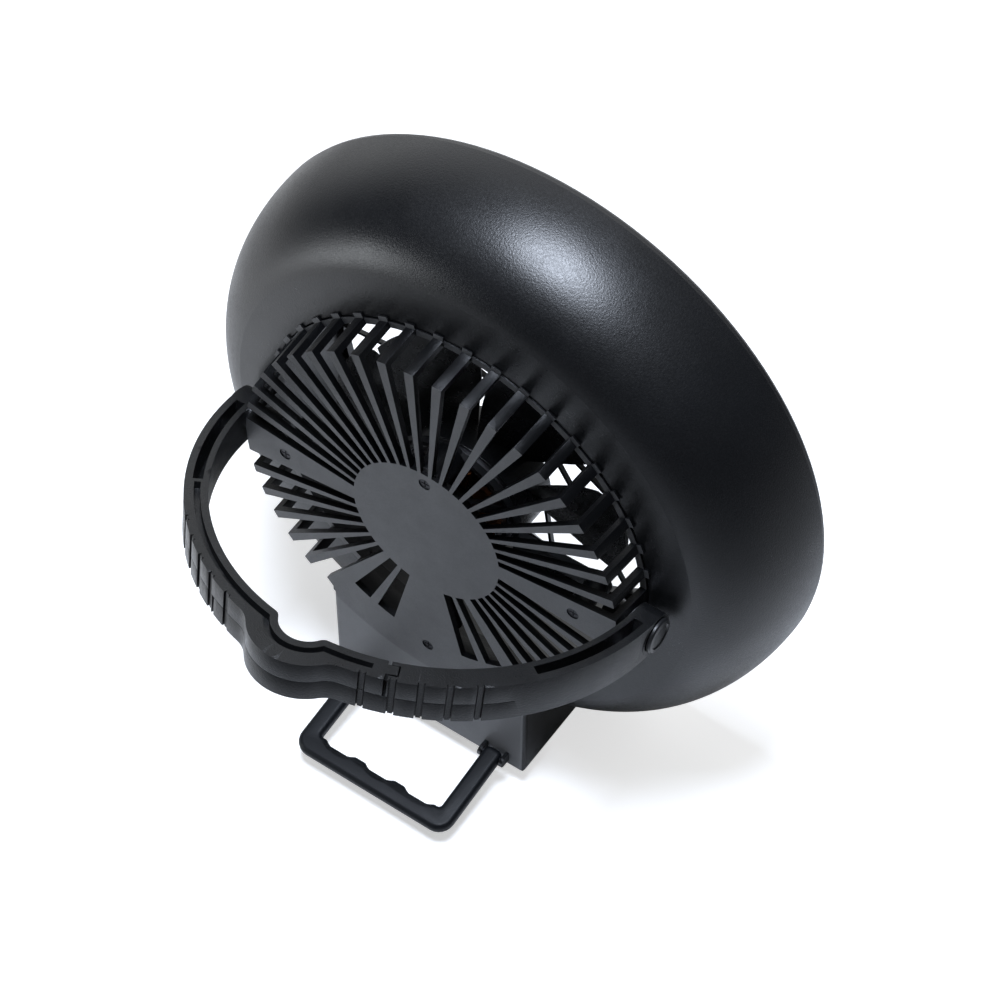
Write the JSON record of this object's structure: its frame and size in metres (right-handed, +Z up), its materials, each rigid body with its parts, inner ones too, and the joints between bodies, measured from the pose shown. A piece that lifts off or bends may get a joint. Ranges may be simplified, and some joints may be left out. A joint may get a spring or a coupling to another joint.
{
  "type": "portable camping fan",
  "caption": "Portable fan with a round ring-light shell, rear grille, swinging two-arm carrying bail with a hanging notch, battery base and folding stand handle.",
  "frame": {"origin": "centre of the rubber pad's underside, at ground level under the middle of the base", "axes": "+Z up; -Y towards the fan's front, where the air leaves and the controls are; +X across, to the left of someone standing behind the fan"},
  "size_m": [0.3, 0.1994, 0.3014],
  "materials": {
    "shell_black": "satin moulded black",
    "grille_grey": "fine-grained dark grey moulding",
    "bail_grey": "grained dark grey moulding",
    "stand_black": "soft matte black moulding",
    "rotor_grey": "satin grey moulding",
    "knob_black": "satin black",
    "diffuser_white": "frosted white light diffuser",
    "lens_green": "tinted clear plastic",
    "pad_rubber": "matte ribbed rubber",
    "screw_steel": "plated steel",
    "screw_black": "blackened steel",
    "laminated_steel": "stacked steel sheet",
    "can_steel": "drawn steel",
    "magnet_black": "sintered magnet",
    "copper_wire": "enamelled copper wire",
    "lead_rubber": "insulated lead",
    "cell_sleeve": "shrink sleeve",
    "tray_black": "moulded black",
    "board_green": "coated circuit board",
    "board_white": "white coated circuit board",
    "chip_yellow": "phosphor-coated light chips",
    "socket_steel": "plated sheet shell",
    "part_black": "moulded component body"
  },
  "bodies": {
    "fan_body": {"rear_shell": "shell_black", "front_bezel": "shell_black", "led_diffuser": "diffuser_white", "led_board": "board_white", "led_chips": "chip_yellow", "ring_screws": "screw_steel", "rear_grille": "grille_grey", "grille_screws": "screw_black", "front_grille": "grille_grey", "front_cap": "knob_black", "motor_mount": "grille_grey", "motor_bearings": "screw_steel", "stator_core": "laminated_steel", "stator_winding": "copper_wire", "motor_lead": "lead_rubber", "base_housing": "grille_grey", "base_pad": "pad_rubber", "battery_tray": "tray_black", "battery_cells": "cell_sleeve", "control_panel": "grille_grey", "panel_screws": "screw_black", "control_board": "board_green", "speed_control": "part_black", "light_switch": "part_black", "indicator_lens": "lens_green", "charge_socket": "socket_steel", "pivot_screws": "screw_steel", "pivot_washers": "screw_steel", "pivot_caps": "knob_black", "stand_pins": "screw_steel"},
    "rotor": {"fan_rotor": "rotor_grey", "motor_can": "can_steel", "rotor_magnets": "magnet_black", "motor_shaft": "screw_steel", "hub_nut": "screw_steel"},
    "bail_left": {"bail_arm_left": "bail_grey", "bail_screws_left": "screw_steel"},
    "bail_right": {"bail_arm_right": "bail_grey", "bail_screws_right": "screw_steel"},
    "speed_knob": {"speed_knob": "knob_black"},
    "light_button": {"light_button": "knob_black"},
    "port_cover": {"port_cover": "pad_rubber"},
    "stand": {"stand_handle": "stand_black"}
  },
  "joints": [
    {"name": "fan_spin", "type": "hinge", "parent": "fan_body", "child": "rotor", "pos_m": [0, 0, 0.1514], "axis": [0, -1, 0], "continuous": true},
    {"name": "bail_swing", "type": "hinge", "parent": "fan_body", "child": "bail_left", "pos_m": [0, 0.031, 0.1514], "axis": [1, 0, 0], "range_deg": [-45, 80]},
    {"name": "hook_split", "type": "hinge", "parent": "bail_left", "child": "bail_right", "pos_m": [0, 0.031, 0.1514], "axis": [1, 0, 0], "range_deg": [-25, 0]},
    {"name": "stand_fold", "type": "hinge", "parent": "fan_body", "child": "stand", "pos_m": [0, 0.046, 0.0167], "axis": [1, 0, 0], "range_deg": [0, 98.5]},
    {"name": "knob_turn", "type": "hinge", "parent": "fan_body", "child": "speed_knob", "pos_m": [0, -0.042, 0.0215], "axis": [0, -1, 0], "range_deg": [0, 270]},
    {"name": "button_press", "type": "slide", "parent": "fan_body", "child": "light_button", "axis": [0, 1, 0], "range_m": [0, 0.0012], "stiffness_N_per_m": 400},
    {"name": "cover_open", "type": "hinge", "parent": "fan_body", "child": "port_cover", "pos_m": [0.031, -0.0431, 0.0151], "axis": [1, 0, 0], "range_deg": [0, 110]}
  ]
}
